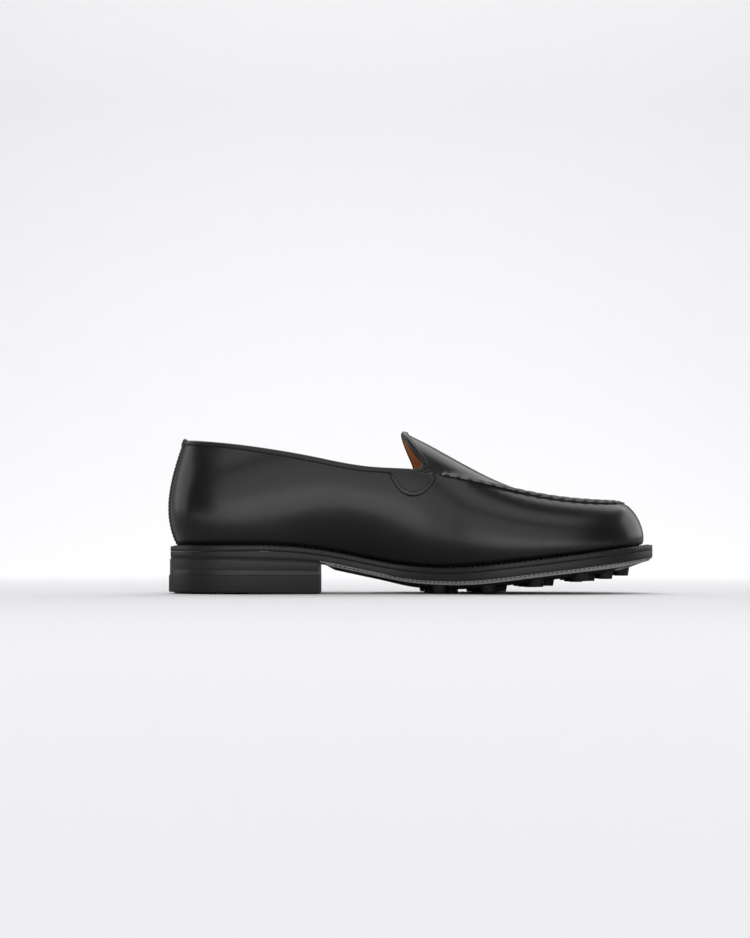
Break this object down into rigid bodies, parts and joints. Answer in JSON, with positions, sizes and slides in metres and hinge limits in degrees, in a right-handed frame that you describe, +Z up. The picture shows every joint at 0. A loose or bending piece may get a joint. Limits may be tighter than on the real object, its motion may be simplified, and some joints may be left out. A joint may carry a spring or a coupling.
{
  "type": "venetian loafer",
  "caption": "Left black slip-on leather loafer with a plain raised apron seam, side tabs, a full welt, a studded rubber sole and a stacked heel; a foot goes in at the collar.",
  "frame": {"origin": "middle of the shoe's footprint box, on the floor that heel and forefoot stand on", "axes": "+X towards the toe, +Y towards the outer side of the foot, -Y towards the inner side, +Z up"},
  "size_m": [0.2987, 0.1088, 0.0995],
  "materials": {
    "black_leather": "polished smooth box calf, glossy",
    "tan_leather": "natural lining leather, matt",
    "edge_leather": "black dyed and waxed edge, satin",
    "black_rubber": "moulded rubber, satin to matt"
  },
  "bodies": {
    "root": {"upper": "black_leather", "collar_binding": "black_leather", "back_strap": "black_leather", "tab_inner": "black_leather", "tab_outer": "black_leather", "insole": "tan_leather", "welt": "edge_leather", "outsole": "black_rubber", "heel_stack": "edge_leather", "heel_top_piece": "black_rubber"}
  },
  "joints": []
}
